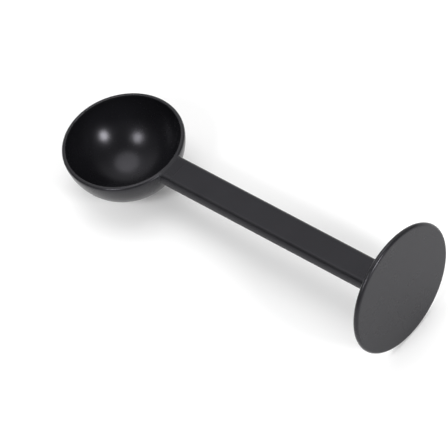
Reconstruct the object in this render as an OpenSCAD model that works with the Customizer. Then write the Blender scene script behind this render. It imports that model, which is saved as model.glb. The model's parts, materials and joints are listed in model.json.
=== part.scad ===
// Coffee scoop and tamper: a round measuring bowl, a flat bar handle and a flat round
// tamping disc that stands square across the far end of the handle.
//
// The tool lies on a table as it is put down: bowl open side up, resting on the lowest
// point of the bowl and on the edge of the disc. The disc is wider than the bowl is deep,
// so the handle climbs a little towards the disc. +Z is up, +X runs along the handle from
// bowl to disc, and the origin is under the middle of the tool on the table. Millimetres.

/* [Bowl] */
// Outer diameter of the bowl at its rim
bowl_d = 45.6; // [40:0.2:52]
// Outer depth of the bowl, from rim to lowest point
bowl_depth = 22; // [18:0.5:22.5]
// Wall thickness of the bowl
bowl_wall = 1.4; // [1.2:0.1:2.4]
// Height of the upright band under the rim, above the round part
rim_band = 1.2; // [1.0:0.1:2.0]
// Rounding of the rim on its outer side
rim_round_out = 0.9; // [0.3:0.05:0.9]
// Rounding of the rim on its inner side
rim_round_in = 0.2; // [0.1:0.05:0.25]

/* [Handle] */
// Distance from the centre of the bowl to the tamping face of the disc
reach = 130; // [100:0.5:150]
// Width of the handle, across its flat underside
handle_w = 12.5; // [11:0.1:14]
// Thickness of the handle
handle_t = 3.8; // [3.4:0.1:4.6]
// Radius of the handle's bulging sides
side_round = 5; // [4.4:0.1:6]
// Rounding between the sides and the flat top
shoulder_round = 1.4; // [0.8:0.1:1.8]
// Rounding between the sides and the flat underside
belly_round = 0.4; // [0.2:0.1:0.6]
// Length of the neck that the bowl carries, outside its rim
neck_length = 4; // [2:0.5:10]

/* [Disc] */
// Diameter of the tamping disc
disc_d = 50; // [48:0.5:54]
// Thickness of the disc, whose edge is fully rounded
disc_t = 2.1; // [1.8:0.1:3]
// Height of the disc's centre above the plane of the rim
disc_rise = -0.8; // [-3:0.1:0]

/* [Joints] */
// Length of the tang on the bowl's neck, inside the handle
tang_length = 12; // [6:0.5:20]
// Length of the spigot on the disc, inside the handle
spigot_length = 10; // [6:0.5:16]
// Width of the tang and the spigot
tenon_w = 6; // [5:0.1:7]
// Thickness of the tang and the spigot
tenon_t = 1.6; // [1.2:0.1:1.8]
// Rounding of the long edges of the tang and the spigot
tenon_round = 0.4; // [0.2:0.1:0.5]

/* [Hidden] */
$fn = 96;

plastic = "#2c2c2f";

// A spherical cap of height h on a base circle of radius r has this radius.
function cap_radius(r, h) = (r * r + h * h) / (2 * h);

rim_r = bowl_d / 2;
mouth_r = rim_r - bowl_wall;
outer_cap_r = cap_radius(rim_r, bowl_depth - rim_band);
inner_cap_r = cap_radius(mouth_r, bowl_depth - bowl_wall - rim_band);
// Heights of the two sphere centres above the plane of the rim
outer_cap_z = outer_cap_r - bowl_depth;
inner_cap_z = inner_cap_r - bowl_depth + bowl_wall;

neck_end_x = rim_r + neck_length;
disc_back_x = reach - disc_t;
disc_r = disc_d / 2;
edge_r = disc_t / 2;
tenon_z = -handle_t / 2;
// How far the cutting shapes reach past the surfaces that they cut
past = 1;

// Section of the handle, with its flat top at z = 0. The side's arc, centred at height side_z,
// starts upright above the underside's rounding and meets the shoulder's arc without a corner.
side_y = handle_w / 2 - side_round;
side_z = belly_round - handle_t;
arc_gap = side_round - shoulder_round;
shoulder_up = -side_z - shoulder_round;
shoulder_out = sqrt(arc_gap * arc_gap - shoulder_up * shoulder_up);
shoulder_y = side_y + shoulder_out;
meet_z = side_z + side_round * shoulder_up / arc_gap;

// The tool tips about Y until the bowl and the disc's edge both touch the table. With the
// disc's edge circle at (tip_x, -tip_z) from the bowl's sphere centre, the tilt solves
// tip_x * sin(tilt) - tip_z * cos(tilt) = edge_r - outer_cap_r.
tip_x = reach - edge_r;
tip_z = disc_r - edge_r - disc_rise + outer_cap_z;
tilt = asin((edge_r - outer_cap_r) / norm([tip_x, tip_z])) + atan2(tip_z, tip_x);
lift = outer_cap_r - outer_cap_z * cos(tilt);

// Ends of the tilted tool along X: the rounded rim and the lower edge of the disc
low_x = rim_round_out * sin(tilt) - (rim_r - rim_round_out) * cos(tilt) - rim_round_out;
high_x = tip_x * cos(tilt) + (disc_r - edge_r - disc_rise) * sin(tilt) + edge_r;
middle_x = (low_x + high_x) / 2;

// Sets a piece drawn around the bowl's axis, rim at z = 0, down on the table.
module resting() {
    translate([-middle_x, 0, lift]) rotate([0, -tilt, 0]) children();
}

// Rectangle centred on the origin with round corners.
module rounded_rectangle(w, h, r) {
    square([w - 2 * r, h], center = true);
    square([w, h - 2 * r], center = true);
    for (x = [-1, 1], y = [-1, 1]) {
        translate([x * (w / 2 - r), y * (h / 2 - r)]) circle(r = r);
    }
}

// Section of the handle across its length, flat on top and underneath with bulging sides.
module handle_outline() {
    translate([-shoulder_y, -handle_t]) square([2 * shoulder_y, handle_t]);
    translate([belly_round - handle_w / 2, -handle_t])
        square([handle_w - 2 * belly_round, 2 * belly_round]);
    for (turn = [0, 1]) mirror([turn, 0]) {
        intersection() {
            translate([0, side_z]) square([handle_w / 2, meet_z - side_z]);
            translate([side_y, side_z]) circle(r = side_round);
        }
        translate([shoulder_y, -shoulder_round]) circle(r = shoulder_round);
        translate([handle_w / 2 - belly_round, side_z]) circle(r = belly_round);
    }
}

// The outline drawn by its child, in Y and Z, run along X from x0 to x1.
module bar(x0, x1) {
    translate([x0, 0, 0]) rotate([90, 0, 90]) linear_extrude(height = x1 - x0) children();
}

// Tenon between the bowl or the disc and the handle, and the socket that it fills.
module tenon(x0, x1) {
    bar(x0, x1) translate([0, tenon_z]) rounded_rectangle(tenon_w, tenon_t, tenon_round);
}

// The part of a circle about the bowl's axis that lies below the rim's band.
module cap_outline(r, centre_z) {
    intersection() {
        translate([0, centre_z]) circle(r = r, $fn = 192);
        translate([0, -bowl_depth - past])
            square([rim_r + past, bowl_depth + past - rim_band]);
    }
}

// Outline of the bowl filled solid, on one side of its axis.
module outer_outline() {
    cap_outline(outer_cap_r, outer_cap_z);
    translate([0, -rim_band]) square([rim_r, rim_band - rim_round_out]);
    translate([0, -rim_band]) square([rim_r - rim_round_out, rim_band]);
    translate([rim_r - rim_round_out, -rim_round_out]) circle(r = rim_round_out);
}

// Outline of the hollow, which flares over the rounded inner edge of the rim.
module hollow_outline() {
    cap_outline(inner_cap_r, inner_cap_z);
    translate([0, -rim_band]) square([mouth_r, rim_band + past]);
    difference() {
        translate([0, -rim_round_in]) square([mouth_r + rim_round_in, rim_round_in + past]);
        translate([mouth_r + rim_round_in, -rim_round_in]) circle(r = rim_round_in);
    }
}

// Tang of the bowl, and the socket that it fills.
module tang() {
    tenon(neck_end_x, neck_end_x + tang_length);
}

// Spigot of the disc, and the socket that it fills.
module spigot() {
    tenon(disc_back_x - spigot_length, disc_back_x);
}

module scoop_bowl() {
    color(plastic) resting() {
        difference() {
            union() {
                rotate_extrude() outer_outline();
                bar(0, neck_end_x) handle_outline();
            }
            rotate_extrude() hollow_outline();
        }
        tang();
    }
}

module handle() {
    color(plastic) resting() difference() {
        bar(neck_end_x, disc_back_x) handle_outline();
        tang();
        spigot();
    }
}

module tamper_disc() {
    color(plastic) resting() {
        translate([disc_back_x, 0, disc_rise]) rotate([0, 90, 0]) rotate_extrude() {
            square([disc_r - edge_r, disc_t]);
            translate([disc_r - edge_r, edge_r]) circle(r = edge_r);
        }
        spigot();
    }
}

scoop_bowl();
handle();
tamper_disc();
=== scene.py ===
"""Looks of the coffee scoop with tamper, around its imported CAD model.

The tool is one colour of moulded black plastic. Its three pieces are rebuilt here as finished
meshes with the small fillets of a moulding, in the tool's own frame: origin at the middle of the
bowl's rim, +X along the handle, +Z out of the bowl. TOOL carries that frame into the CAD frame.
"""

import json
import math

import bmesh
import bpy
import numpy as np
from mathutils import Matrix, Vector


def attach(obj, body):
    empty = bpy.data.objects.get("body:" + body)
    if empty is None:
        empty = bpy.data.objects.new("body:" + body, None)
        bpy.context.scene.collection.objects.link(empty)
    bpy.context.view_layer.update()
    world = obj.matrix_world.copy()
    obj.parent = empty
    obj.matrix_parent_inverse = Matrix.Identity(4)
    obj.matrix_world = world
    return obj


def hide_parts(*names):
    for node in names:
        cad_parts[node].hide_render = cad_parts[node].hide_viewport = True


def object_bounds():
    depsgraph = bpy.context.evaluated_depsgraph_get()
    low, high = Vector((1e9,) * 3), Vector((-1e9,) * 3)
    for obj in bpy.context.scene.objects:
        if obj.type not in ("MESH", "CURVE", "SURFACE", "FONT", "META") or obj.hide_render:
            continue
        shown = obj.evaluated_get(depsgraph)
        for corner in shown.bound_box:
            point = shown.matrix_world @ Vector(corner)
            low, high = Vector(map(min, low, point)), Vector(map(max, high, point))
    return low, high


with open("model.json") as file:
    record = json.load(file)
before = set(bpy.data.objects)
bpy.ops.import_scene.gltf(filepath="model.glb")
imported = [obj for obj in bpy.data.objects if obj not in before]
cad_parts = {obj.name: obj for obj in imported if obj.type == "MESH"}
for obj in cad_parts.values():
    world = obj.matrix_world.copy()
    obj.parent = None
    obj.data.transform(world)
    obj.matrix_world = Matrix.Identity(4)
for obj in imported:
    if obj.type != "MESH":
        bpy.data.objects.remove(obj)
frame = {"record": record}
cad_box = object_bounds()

MM = 0.001

# Bowl
RIM_R = 22.8 * MM
BOWL_DEPTH = 22 * MM
WALL = 1.4 * MM
RIM_BAND = 1.2 * MM
RIM_ROUND_OUT = 0.9 * MM
RIM_ROUND_IN = 0.2 * MM
# Handle
REACH = 130 * MM
HANDLE_W = 12.5 * MM
HANDLE_T = 3.8 * MM
SIDE_ROUND = 5 * MM
SHOULDER_ROUND = 1.4 * MM
BELLY_ROUND = 0.4 * MM
NECK_END = RIM_R + 4 * MM
# Disc
DISC_R = 25 * MM
DISC_T = 2.1 * MM
DISC_RISE = -0.8 * MM
DISC_BACK = REACH - DISC_T
# Hidden joints
TANG_LENGTH = 12 * MM
SPIGOT_LENGTH = 10 * MM
TENON_W = 6 * MM
TENON_T = 1.6 * MM
TENON_ROUND = 0.4 * MM
TENON_CHAMFER = 0.3 * MM
# Fillets of the moulding
NECK_FILLET = 0.35 * MM
FOOT_FILLET = 0.5 * MM
# Rounding of the neck's shoulders that gives the arc of SHOULDER_ROUND where the sides lean in
SHOULDER_BLEND = 0.36 * MM
# The rim's rounding changes to the shoulders' between these two places along X
BLEND_START = RIM_R - 2 * MM
BLEND_END = RIM_R + 2 * MM
# Smoothing of the line where the bowl's upright band meets its round part
BAND_BLEND = 0.12 * MM
# How far the rim's wear runs out along the neck
WEAR_FADE = 0.5 * MM

# Edges that turn by more than this stay sharp
CREASE = math.radians(35)
# Steps round each part of the handle's section and of a tenon's
BELLY_STEPS = 6
SIDE_STEPS = 10
SHOULDER_STEPS = 8
FLAT_STEPS = 12
TENON_CORNER_STEPS = 8
TENON_SIDE_STEPS = 6
# Rings of points on the disc's face, round its edge and on its back, and points in each ring
FACE_RINGS = 26
EDGE_RINGS = 25
BACK_RINGS = 20
DISC_TURNS = 240
# Size of the cells in which the bowl's surface is looked for
BOWL_CELL = 0.34 * MM
# Distance over which a field's slope is measured
SLOPE_STEP = 0.002 * MM
# Least squared slope, which keeps a pull towards the surface short where a field is flat
LEAST_SLOPE = 0.05


# ---------------------------------------------------------------- frame of the tool

def tool_matrix():
    """Carries the tool's own frame to the CAD frame, from the mount on the tamping face."""
    face = next(m for m in frame["record"]["mounts"] if m["name"] == "tamp_face")
    tilt = math.atan2(face["axis"][2], face["axis"][0])
    place = Matrix.Translation(Vector(face["pos_m"]))
    turn = Matrix.Rotation(-tilt, 4, "Y")
    return place @ turn @ Matrix.Translation(Vector((-REACH, 0, -DISC_RISE)))


TOOL = tool_matrix()


# ---------------------------------------------------------------- camera

# Azimuth 0 looks along +Y. Angles are in degrees.
CAMERA_AZIMUTH = 51.48
CAMERA_ELEVATION = 51.25
CAMERA_ROLL = -15.53
CAMERA_DISTANCE = 1670.6 * MM
CAMERA_LENS = 378.69
# Where the camera aims, from the middle of the CAD model's box
CAMERA_AIM = Vector((3.86, -11.25, 0.0)) * MM


def direction(azimuth, elevation):
    """Unit vector from the tool towards a place around it."""
    a, e = math.radians(azimuth), math.radians(elevation)
    return Vector((math.sin(a) * math.cos(e), -math.cos(a) * math.cos(e), math.sin(e)))


def looking_at(point, azimuth, elevation, distance):
    """Place of a camera or a light that looks at a point from a direction."""
    back = direction(azimuth, elevation)
    turn = back.to_track_quat("Z", "Y").to_matrix().to_4x4()
    return Matrix.Translation(point + back * distance) @ turn


def make_camera():
    data = bpy.data.cameras.new("camera")
    data.lens = CAMERA_LENS
    data.sensor_width = 36
    data.clip_start = 0.05
    data.clip_end = 50
    camera = bpy.data.objects.new("camera", data)
    bpy.context.scene.collection.objects.link(camera)
    low, high = (Vector(corner) for corner in cad_box)
    aim = (low + high) / 2 + CAMERA_AIM
    place = looking_at(aim, CAMERA_AZIMUTH, CAMERA_ELEVATION, CAMERA_DISTANCE)
    camera.matrix_world = place @ Matrix.Rotation(math.radians(CAMERA_ROLL), 4, "Z")
    bpy.context.scene.camera = camera


# ---------------------------------------------------------------- mesh helpers

def new_piece(name, bm):
    """Makes an object of a mesh drawn in the tool's frame, smooth but for its sharp edges."""
    bmesh.ops.recalc_face_normals(bm, faces=bm.faces)
    for face in bm.faces:
        face.smooth = True
    for edge in bm.edges:
        edge.smooth = len(edge.link_faces) == 2 and edge.calc_face_angle(0) < CREASE
    bm.transform(TOOL)
    mesh = bpy.data.meshes.new(name)
    bm.to_mesh(mesh)
    bm.free()
    piece = bpy.data.objects.new(name, mesh)
    bpy.context.scene.collection.objects.link(piece)
    return piece


def skin_rows(bm, rows):
    """Skins closed rings of equally many points, one after another."""
    count = len(rows[0])
    for lower, upper in zip(rows, rows[1:]):
        for i in range(count):
            j = (i + 1) % count
            bm.faces.new((lower[i], lower[j], upper[j], upper[i]))


def ring_edges(bm, row):
    """Edges of the closed ring through a row of points."""
    return [bm.edges.get((vert, row[(i + 1) % len(row)])) for i, vert in enumerate(row)]


def arc(centre_y, centre_z, radius, start, end, steps):
    """Points in Y and Z on an arc from one angle to another, both ends included."""
    angles = [start + (end - start) * k / steps for k in range(steps + 1)]
    return [(centre_y + radius * math.cos(a), centre_z + radius * math.sin(a)) for a in angles]


def between(start, end, steps):
    """Points in Y and Z that split a straight line into equal steps, without its ends."""
    (y0, z0), (y1, z1) = start, end
    return [(y0 + (y1 - y0) * k / steps, z0 + (z1 - z0) * k / steps) for k in range(1, steps)]


def handle_ring(x, flare=0.0):
    """Section of the handle at x, grown outward by flare, and the wear at each of its points."""
    side_y = HANDLE_W / 2 - SIDE_ROUND
    side_z = BELLY_ROUND - HANDLE_T
    gap = SIDE_ROUND - SHOULDER_ROUND
    meet = math.asin((-side_z - SHOULDER_ROUND) / gap)
    shoulder_y = side_y + gap * math.cos(meet)
    belly_y = HANDLE_W / 2 - BELLY_ROUND
    right = arc(belly_y, side_z, BELLY_ROUND + flare, -math.pi / 2, 0, BELLY_STEPS)[:-1]
    right += arc(side_y, side_z, SIDE_ROUND + flare, 0, meet, SIDE_STEPS)[:-1]
    worn = [0.0] * len(right)
    right += arc(shoulder_y, -SHOULDER_ROUND, SHOULDER_ROUND + flare, meet, math.pi / 2,
                 SHOULDER_STEPS)
    worn += [math.sin(math.pi * k / SHOULDER_STEPS) for k in range(SHOULDER_STEPS + 1)]
    left = [(-y, z) for y, z in reversed(right)]
    top = between(right[-1], left[0], FLAT_STEPS)
    bottom = between(left[-1], right[0], FLAT_STEPS)
    wear = worn + [0.0] * len(top) + worn[::-1] + [0.0] * len(bottom)
    return [Vector((x, y, z)) for y, z in right + top + left + bottom], wear


def tenon_ring(x, inset=0.0):
    """Rounded rectangle of a tenon or its socket at x, drawn in by inset."""
    radius = TENON_ROUND - inset
    reach_y = TENON_W / 2 - TENON_ROUND
    reach_z = TENON_T / 2 - TENON_ROUND
    corners = []
    for turn, (sy, sz) in enumerate(((1, 1), (-1, 1), (-1, -1), (1, -1))):
        start = turn * math.pi / 2
        corners.append(arc(sy * reach_y, sz * reach_z, radius, start, start + math.pi / 2,
                           TENON_CORNER_STEPS))
    outline = []
    for corner, after in zip(corners, corners[1:] + corners[:1]):
        outline += corner + between(corner[-1], after[0], TENON_SIDE_STEPS)
    return [Vector((x, y, z - HANDLE_T / 2)) for y, z in outline]


def add_tenon(bm, root_x, tip_x):
    """Tang or spigot, open at its root. Returns the edges of the open end."""
    chamfer = math.copysign(TENON_CHAMFER, tip_x - root_x)
    sizes = [(root_x, 0), (tip_x - chamfer, 0), (tip_x, TENON_CHAMFER)]
    rows = []
    for x, inset in sizes:
        rows.append([bm.verts.new(point) for point in tenon_ring(x, inset)])
    skin_rows(bm, rows)
    bm.faces.new(rows[-1])
    return ring_edges(bm, rows[0])


# ---------------------------------------------------------------- bowl, as a distance field

def smooth_max(a, b, k):
    """The larger of a and b, blended where they differ by less than k."""
    h = np.clip(0.5 + 0.5 * (a - b) / k, 0, 1)
    return b + (a - b) * h + k * h * (1 - h)


def round_intersection(a, b, r):
    """Inside both a and b, their shared edge rounded to radius r."""
    return np.minimum(-r, np.maximum(a, b)) + np.hypot(np.maximum(a + r, 0), np.maximum(b + r, 0))


def round_union(a, b, r):
    """Inside a or b, the corner between them filled to radius r."""
    return np.maximum(r, np.minimum(a, b)) - np.hypot(np.maximum(r - a, 0), np.maximum(r - b, 0))


def cap_radius(r, h):
    """Radius of the sphere whose cap of height h stands on a circle of radius r."""
    return (r * r + h * h) / (2 * h)


def bowl_skin(p, rim_r, depth):
    """Distance to the outer or inner skin of the bowl: a spherical cap below an upright band."""
    sphere_r = cap_radius(rim_r, depth - RIM_BAND)
    radial = np.hypot(p[:, 0], p[:, 1])
    sphere = np.hypot(radial, p[:, 2] - (sphere_r - depth)) - sphere_r
    return smooth_max(sphere, radial - rim_r, BAND_BLEND)


def bowl_field(p):
    """Signed distance to the bowl and its neck, which has no end here and is cut off later."""
    x, y, z = p.T
    outside = bowl_skin(p, RIM_R, BOWL_DEPTH)
    inside = bowl_skin(p, RIM_R - WALL, BOWL_DEPTH - WALL)
    side_y = np.maximum(np.abs(y) - (HANDLE_W / 2 - SIDE_ROUND), 0)
    side_z = np.maximum(z + HANDLE_T - BELLY_ROUND, 0)
    neck = np.hypot(side_y, side_z) - SIDE_ROUND
    neck = round_intersection(neck, -z - HANDLE_T, BELLY_ROUND)
    neck = np.maximum(neck, -x)
    body = round_union(outside, neck, NECK_FILLET)
    along = np.clip((x - BLEND_START) / (BLEND_END - BLEND_START), 0, 1)
    edge_round = RIM_ROUND_OUT + (SHOULDER_BLEND - RIM_ROUND_OUT) * along
    body = round_intersection(body, z, edge_round)
    return np.maximum(body, round_intersection(-inside, z, RIM_ROUND_IN))


def field_slope(field, p):
    slope = np.empty_like(p)
    for axis in range(3):
        shift = np.zeros(3)
        shift[axis] = SLOPE_STEP
        slope[:, axis] = (field(p + shift) - field(p - shift)) / (2 * SLOPE_STEP)
    return slope


def pull_to_surface(field, p, rounds):
    """Moves points along the field's slope to where the field is zero."""
    for _ in range(rounds):
        slope = field_slope(field, p)
        slope_squared = np.maximum((slope ** 2).sum(1), LEAST_SLOPE)
        p = p - slope * (field(p) / slope_squared)[:, None]
    return p


def surface_net(field, low, high, step):
    """Quads over the zero surface of a field, with one point in the middle of each crossed cell."""
    axes = [np.arange(low[a], high[a] + step, step) for a in range(3)]
    grid = np.stack(np.meshgrid(*axes, indexing="ij"), -1)
    shape = grid.shape[:3]
    inside = (field(grid.reshape(-1, 3)) < 0).reshape(shape)
    corners = [inside[i:shape[0] - 1 + i, j:shape[1] - 1 + j, k:shape[2] - 1 + k]
               for i in (0, 1) for j in (0, 1) for k in (0, 1)]
    filled = sum(c.astype(np.int8) for c in corners)
    crossed = (filled > 0) & (filled < 8)
    number = np.full(crossed.shape, -1)
    number[crossed] = np.arange(crossed.sum())
    points = grid[:-1, :-1, :-1][crossed] + step / 2
    # A grid edge that crosses the surface gives a quad through the four cells around it.
    quads = []
    for axis in range(3):
        b, c = [a for a in range(3) if a != axis]
        near = [slice(None)] * 3
        near[axis] = slice(0, -1)
        far = [slice(None)] * 3
        far[axis] = slice(1, None)
        enters = inside[tuple(far)] & ~inside[tuple(near)]
        leaves = inside[tuple(near)] & ~inside[tuple(far)]
        for change, flip in ((enters, axis != 1), (leaves, axis == 1)):
            spot = np.argwhere(change)
            limit = np.array(number.shape)
            keep = (spot[:, b] > 0) & (spot[:, c] > 0)
            keep &= (spot[:, b] < limit[b]) & (spot[:, c] < limit[c])
            spot = spot[keep]
            cells = []
            for db, dc in ((0, 0), (1, 0), (1, 1), (0, 1)):
                cell = spot.copy()
                cell[:, b] -= db
                cell[:, c] -= dc
                cells.append(number[tuple(cell.T)])
            quad = np.stack(cells, 1)
            quads.append(quad[:, ::-1] if flip else quad)
    return points, np.concatenate(quads)


def relax(points, quads, field, rounds):
    """Evens the quads out along the surface, and keeps their points on it."""
    edges = np.concatenate([quads[:, [i, (i + 1) % 4]] for i in range(4)])
    edges = np.concatenate([edges, edges[:, ::-1]])
    count = np.bincount(edges[:, 0], minlength=len(points))
    for _ in range(rounds):
        total = np.stack([np.bincount(edges[:, 0], points[edges[:, 1], a], len(points))
                          for a in range(3)], 1)
        points = 0.5 * points + 0.5 * total / count[:, None]
        points = pull_to_surface(field, points, rounds=2)
    return points


def bowl_wear(point):
    """Wear along the rim and along the neck's upper edges."""
    height = max(0.0, 1 + point.z / RIM_BAND)
    radial = math.hypot(point.x, point.y)
    on_rim = max(0.0, 1 - max(0.0, radial - RIM_R) / WEAR_FADE)
    to_side = HANDLE_W / 2 - abs(point.y)
    on_edge = max(0.0, 1 - abs(to_side / SHOULDER_ROUND - 1)) if point.x > 0 else 0.0
    return height * max(on_rim, on_edge)


def make_bowl():
    """Bowl with its neck, cut square at the neck's end, where the tang stands."""
    margin = 3 * BOWL_CELL
    low = (-RIM_R - margin, -RIM_R - margin, -BOWL_DEPTH - margin)
    high = (NECK_END + margin, RIM_R + margin, margin)
    points, quads = surface_net(bowl_field, low, high, BOWL_CELL)
    points = pull_to_surface(bowl_field, points, rounds=6)
    points = relax(points, quads, bowl_field, rounds=4)
    bm = bmesh.new()
    wear = bm.verts.layers.float.new("wear")
    verts = [bm.verts.new(point) for point in points]
    for quad in quads:
        bm.faces.new([verts[i] for i in quad])
    everything = bm.verts[:] + bm.edges[:] + bm.faces[:]
    merge_distance = BOWL_CELL / 50
    bmesh.ops.bisect_plane(bm, geom=everything, dist=merge_distance,
                           plane_co=(NECK_END, 0, 0), plane_no=(1, 0, 0), clear_outer=True)
    for vert in bm.verts:
        vert[wear] = bowl_wear(vert.co)
    outline = [e for e in bm.edges if len(e.link_faces) == 1]
    root = add_tenon(bm, NECK_END, NECK_END + TANG_LENGTH)
    bmesh.ops.triangle_fill(bm, edges=outline + root, use_beauty=True, normal=(1, 0, 0))
    return new_piece("bowl_shell", bm)


# ---------------------------------------------------------------- handle and disc

def make_handle():
    """Bar with a socket in each end and a fillet where it stands on the disc."""
    length_steps = 60
    fillet_steps = 8
    fillet_start = DISC_BACK - FOOT_FILLET
    sections = [handle_ring(NECK_END + (fillet_start - NECK_END) * k / length_steps)
                for k in range(length_steps + 1)]
    for k in range(1, fillet_steps + 1):
        angle = math.pi / 2 * k / fillet_steps
        x = fillet_start + FOOT_FILLET * math.sin(angle)
        sections.append(handle_ring(x, FOOT_FILLET * (1 - math.cos(angle))))
    bm = bmesh.new()
    wear = bm.verts.layers.float.new("wear")
    rows = []
    for ring, worn in sections:
        rows.append([bm.verts.new(point) for point in ring])
        for vert, w in zip(rows[-1], worn):
            vert[wear] = w
    skin_rows(bm, rows)
    for row, root_x, tip_x in (
        (rows[0], NECK_END, NECK_END + TANG_LENGTH),
        (rows[-1], DISC_BACK, DISC_BACK - SPIGOT_LENGTH),
    ):
        socket = [[bm.verts.new(point) for point in tenon_ring(x)] for x in (root_x, tip_x)]
        skin_rows(bm, socket)
        bm.faces.new(socket[-1])
        edges = ring_edges(bm, row) + ring_edges(bm, socket[0])
        bmesh.ops.triangle_fill(bm, edges=edges, use_beauty=True, normal=(1, 0, 0))
    return new_piece("handle_bar", bm)


def make_disc():
    """Round plate turned about the handle's direction, with the spigot on its back."""
    edge_r = DISC_T / 2
    flat_r = DISC_R - edge_r
    # Triangles close the face inside hub_r, and the back between patch_r and the spigot.
    hub_r = 0.6 * MM
    patch_r = 6 * MM
    outline = [(r, 0.0) for r in np.linspace(hub_r, flat_r, FACE_RINGS)]
    outline += [(flat_r + edge_r * math.sin(a), -edge_r + edge_r * math.cos(a))
                for a in np.linspace(0, math.pi, EDGE_RINGS)[1:]]
    outline += [(r, -DISC_T) for r in np.linspace(flat_r, patch_r, BACK_RINGS)[1:]]
    bm = bmesh.new()
    wear = bm.verts.layers.float.new("wear")
    rows = []
    for r, x in outline:
        row = []
        for k in range(DISC_TURNS):
            angle = 2 * math.pi * k / DISC_TURNS
            point = Vector((REACH + x, r * math.cos(angle), DISC_RISE + r * math.sin(angle)))
            vert = bm.verts.new(point)
            vert[wear] = max(0.0, 1 - (DISC_R - r) / edge_r)
            row.append(vert)
        rows.append(row)
    skin_rows(bm, rows)
    centre = bm.verts.new((REACH, 0, DISC_RISE))
    for i in range(DISC_TURNS):
        bm.faces.new((rows[0][i], rows[0][(i + 1) % DISC_TURNS], centre))
    inner_edges = ring_edges(bm, rows[-1])
    root = add_tenon(bm, DISC_BACK, DISC_BACK - SPIGOT_LENGTH)
    bmesh.ops.triangle_fill(bm, edges=inner_edges + root, use_beauty=True, normal=(-1, 0, 0))
    return new_piece("disc_plate", bm)


# ---------------------------------------------------------------- materials

# How far the cloudiness changes the roughness, and how much rougher a hairline scratch is
ROUGHNESS_SPREAD = 0.03
HAIRLINE_ROUGHNESS = 0.08
# Depth of a hairline scratch, as a share of the height of the grain
HAIRLINE_DEPTH = 0.6


def node(tree, kind, **settings):
    """Adds a node to a tree, with settings given by name."""
    made = tree.nodes.new(kind)
    for name, value in settings.items():
        setattr(made, name, value)
    return made


def black_plastic(name, roughness, grain):
    """Moulded black plastic: faint cloudiness, fine grain, hairline scratches, worn edges."""
    material = bpy.data.materials.new(name)
    material.use_nodes = True
    tree = material.node_tree
    tree.nodes.clear()
    link = tree.links.new
    shader = node(tree, "ShaderNodeBsdfPrincipled")
    output = node(tree, "ShaderNodeOutputMaterial")
    link(shader.outputs["BSDF"], output.inputs["Surface"])
    shader.inputs["IOR"].default_value = 1.38
    shader.inputs["Specular Tint"].default_value = (0.93, 0.91, 1.0, 1)
    place = node(tree, "ShaderNodeTexCoord").outputs["Object"]

    clouds = node(tree, "ShaderNodeTexNoise")
    clouds.inputs["Scale"].default_value = 90
    clouds.inputs["Detail"].default_value = 4
    link(place, clouds.inputs["Vector"])

    stretch = node(tree, "ShaderNodeMapping")
    stretch.inputs["Scale"].default_value = (120, 2600, 2600)
    stretch.inputs["Rotation"].default_value = (0.3, 0.5, 0.7)
    link(place, stretch.inputs["Vector"])
    scratches = node(tree, "ShaderNodeTexNoise")
    scratches.inputs["Scale"].default_value = 1
    scratches.inputs["Detail"].default_value = 2
    link(stretch.outputs["Vector"], scratches.inputs["Vector"])
    hairlines = node(tree, "ShaderNodeValToRGB")
    hairlines.color_ramp.elements[0].position = 0.68
    hairlines.color_ramp.elements[1].position = 0.76
    link(scratches.outputs["Fac"], hairlines.inputs["Fac"])

    speckle = node(tree, "ShaderNodeTexNoise")
    speckle.inputs["Scale"].default_value = 2200
    speckle.inputs["Detail"].default_value = 3
    link(place, speckle.inputs["Vector"])

    wear = node(tree, "ShaderNodeAttribute", attribute_name="wear")
    worn = node(tree, "ShaderNodeMath", operation="MULTIPLY", use_clamp=True)
    link(wear.outputs["Fac"], worn.inputs[0])
    link(clouds.outputs["Fac"], worn.inputs[1])

    tint = node(tree, "ShaderNodeMix", data_type="RGBA")
    tint.inputs["A"].default_value = (0.0056, 0.0056, 0.0066, 1)
    tint.inputs["B"].default_value = (0.0080, 0.0079, 0.0096, 1)
    link(clouds.outputs["Fac"], tint.inputs["Factor"])
    rubbed = node(tree, "ShaderNodeMix", data_type="RGBA")
    rubbed.inputs["B"].default_value = (0.022, 0.022, 0.023, 1)
    link(worn.outputs["Value"], rubbed.inputs["Factor"])
    link(tint.outputs["Result"], rubbed.inputs["A"])
    link(rubbed.outputs["Result"], shader.inputs["Base Color"])

    level = node(tree, "ShaderNodeMapRange")
    level.inputs["From Min"].default_value = 0.3
    level.inputs["From Max"].default_value = 0.7
    level.inputs["To Min"].default_value = roughness - ROUGHNESS_SPREAD
    level.inputs["To Max"].default_value = roughness + ROUGHNESS_SPREAD
    link(clouds.outputs["Fac"], level.inputs["Value"])
    rough = node(tree, "ShaderNodeMath", operation="MULTIPLY_ADD")
    rough.inputs[1].default_value = HAIRLINE_ROUGHNESS
    link(hairlines.outputs["Color"], rough.inputs[0])
    link(level.outputs["Result"], rough.inputs[2])
    link(rough.outputs["Value"], shader.inputs["Roughness"])

    height = node(tree, "ShaderNodeMath", operation="MULTIPLY_ADD")
    height.inputs[1].default_value = -HAIRLINE_DEPTH
    link(hairlines.outputs["Color"], height.inputs[0])
    link(speckle.outputs["Fac"], height.inputs[2])
    bump = node(tree, "ShaderNodeBump")
    bump.inputs["Strength"].default_value = grain
    bump.inputs["Distance"].default_value = 0.02 * MM
    link(height.outputs["Value"], bump.inputs["Height"])
    link(bump.outputs["Normal"], shader.inputs["Normal"])
    return material


def floor_material():
    material = bpy.data.materials.new("pale_floor")
    material.use_nodes = True
    shader = material.node_tree.nodes["Principled BSDF"]
    shader.inputs["Base Color"].default_value = (0.85, 0.85, 0.85, 1)
    shader.inputs["Roughness"].default_value = 0.6
    shader.inputs["Specular IOR Level"].default_value = 0.2
    shader.inputs["Emission Color"].default_value = (1, 1, 1, 1)
    shader.inputs["Emission Strength"].default_value = 0.15
    return material


# ---------------------------------------------------------------- stage and light

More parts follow.
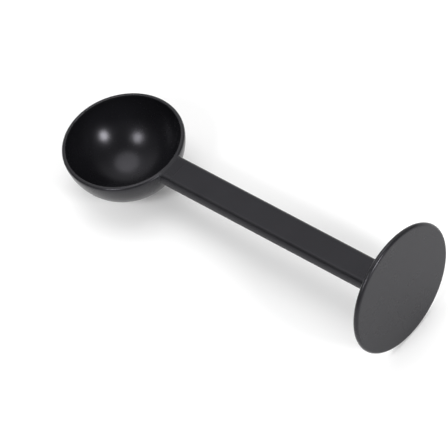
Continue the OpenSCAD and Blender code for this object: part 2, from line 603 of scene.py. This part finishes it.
# Half the floor's width, and how far the lights stand from the tool, in metres
FLOOR_HALF = 4
LIGHT_DISTANCE = 1.2


def make_floor():
    bm = bmesh.new()
    bmesh.ops.create_grid(bm, x_segments=1, y_segments=1, size=FLOOR_HALF)
    mesh = bpy.data.meshes.new("floor")
    bm.to_mesh(mesh)
    bm.free()
    mesh.materials.append(floor_material())
    floor = bpy.data.objects.new("floor", mesh)
    bpy.context.scene.collection.objects.link(floor)


def softbox(name, azimuth, elevation, width, height, radiance):
    """Oval light that shines at the tool from a direction, its width and height in degrees."""
    data = bpy.data.lights.new(name, "AREA")
    data.shape = "ELLIPSE"
    data.size = 2 * LIGHT_DISTANCE * math.tan(math.radians(width / 2))
    data.size_y = 2 * LIGHT_DISTANCE * math.tan(math.radians(height / 2))
    area = math.pi / 4 * data.size * data.size_y
    data.energy = radiance * math.pi * area
    light = bpy.data.objects.new(name, data)
    bpy.context.scene.collection.objects.link(light)
    light.matrix_world = looking_at(Vector(), azimuth, elevation, LIGHT_DISTANCE)


def make_world():
    """Bright behind the tool, dim on the camera's side, as in a studio with one white wall."""
    world = bpy.data.worlds.new("studio")
    bpy.context.scene.world = world
    world.use_nodes = True
    tree = world.node_tree
    background = tree.nodes["Background"]
    sky = node(tree, "ShaderNodeTexCoord").outputs["Generated"]
    facing = node(tree, "ShaderNodeVectorMath", operation="DOT_PRODUCT")
    facing.inputs[1].default_value = direction(azimuth=232, elevation=40)
    tree.links.new(sky, facing.inputs[0])
    level = node(tree, "ShaderNodeMapRange", interpolation_type="SMOOTHSTEP")
    level.inputs["From Min"].default_value = 0.3
    level.inputs["From Max"].default_value = 0.95
    level.inputs["To Min"].default_value = 0.22
    level.inputs["To Max"].default_value = 0.92
    tree.links.new(facing.outputs["Value"], level.inputs["Value"])
    tree.links.new(level.outputs["Result"], background.inputs["Color"])


# ---------------------------------------------------------------- assembly

make_camera()
make_world()
make_floor()
softbox("softbox_right", azimuth=90, elevation=28, width=15, height=19, radiance=25)
softbox("softbox_left", azimuth=3, elevation=47, width=16, height=16, radiance=19)
softbox("softbox_top", azimuth=220, elevation=80, width=42, height=42, radiance=2.2)
bpy.context.scene.view_settings.view_transform = "Standard"

for piece, cad_node, roughness, grain in (
    (make_bowl(), "scoop_bowl", 0.26, 0.12),
    (make_handle(), "handle", 0.3, 0.2),
    (make_disc(), "tamper_disc", 0.28, 0.2),
):
    piece.data.materials.append(black_plastic("plastic_" + cad_node, roughness, grain))
    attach(piece, "root")
    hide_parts(cad_node)
